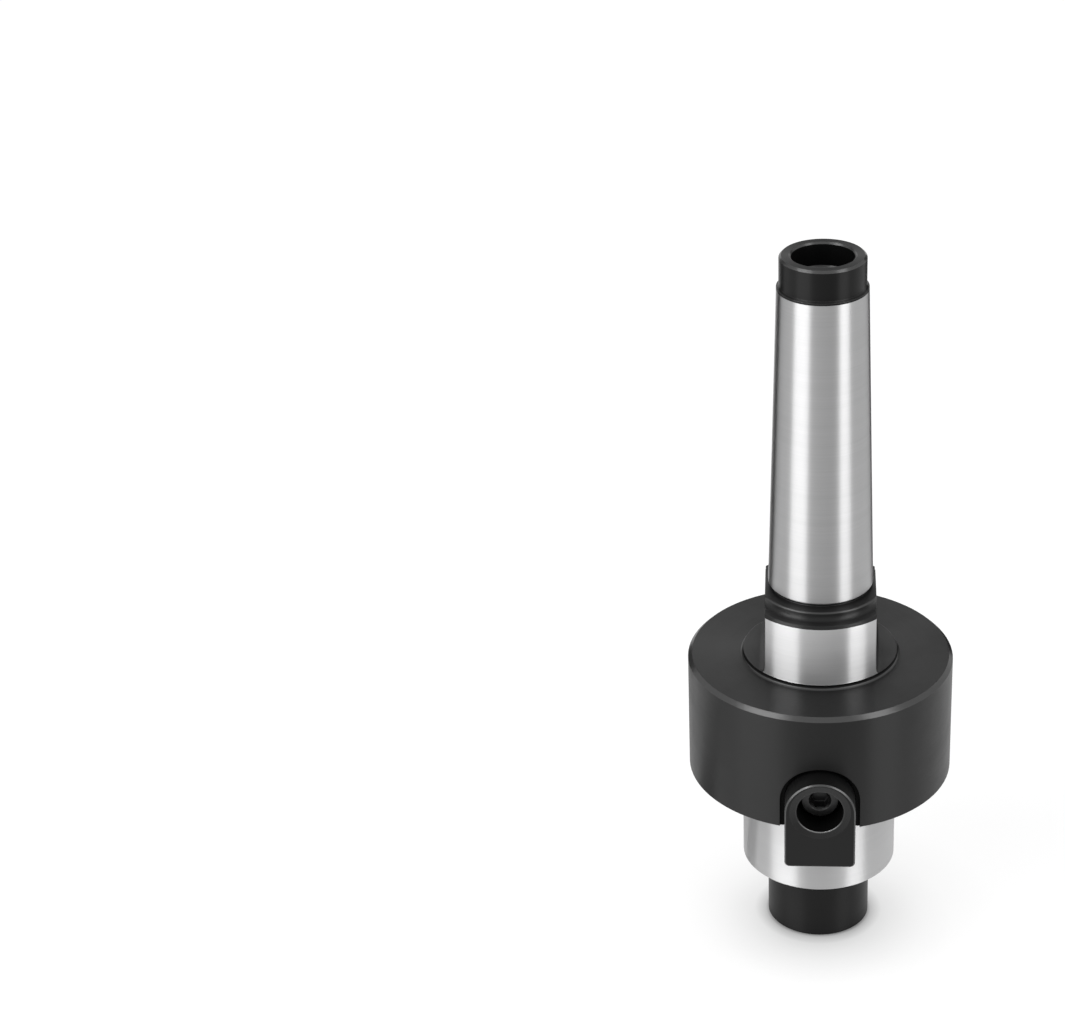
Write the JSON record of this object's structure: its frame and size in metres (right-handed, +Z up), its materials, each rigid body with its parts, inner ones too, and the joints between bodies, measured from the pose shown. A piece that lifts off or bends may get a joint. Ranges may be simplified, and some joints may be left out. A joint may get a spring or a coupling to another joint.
{
  "type": "shell mill arbor",
  "caption": "Shell mill arbor with a tapered shank, a flanged pilot with two bolted drive keys and a socket head retaining screw.",
  "frame": {"origin": "middle of the retaining screw's head, on the surface that the arbor stands on", "axes": "+Z up the arbor's axis towards the shank's small end, -Y out of the front drive key, X across the spanner flats"},
  "size_m": [0.046, 0.053, 0.1286],
  "materials": {
    "arbor_steel": "ground bright on the taper shank, the collar and the pilot, satin black oxide elsewhere",
    "retaining_screw_steel": "satin black oxide",
    "drive_key_steel": "fine ground black oxide, bright on the worn edges",
    "key_screw_steel": "satin black oxide"
  },
  "bodies": {
    "arbor": {"arbor_body": "arbor_steel", "drive_key_front": "drive_key_steel", "drive_key_rear": "drive_key_steel", "key_screw_front": "key_screw_steel", "key_screw_rear": "key_screw_steel"},
    "screw": {"retaining_screw": "retaining_screw_steel"}
  },
  "joints": [
    {"name": "screw_out", "type": "slide", "parent": "arbor", "child": "screw", "axis": [0, 0, -1], "range_m": [0, 0.028]}
  ]
}
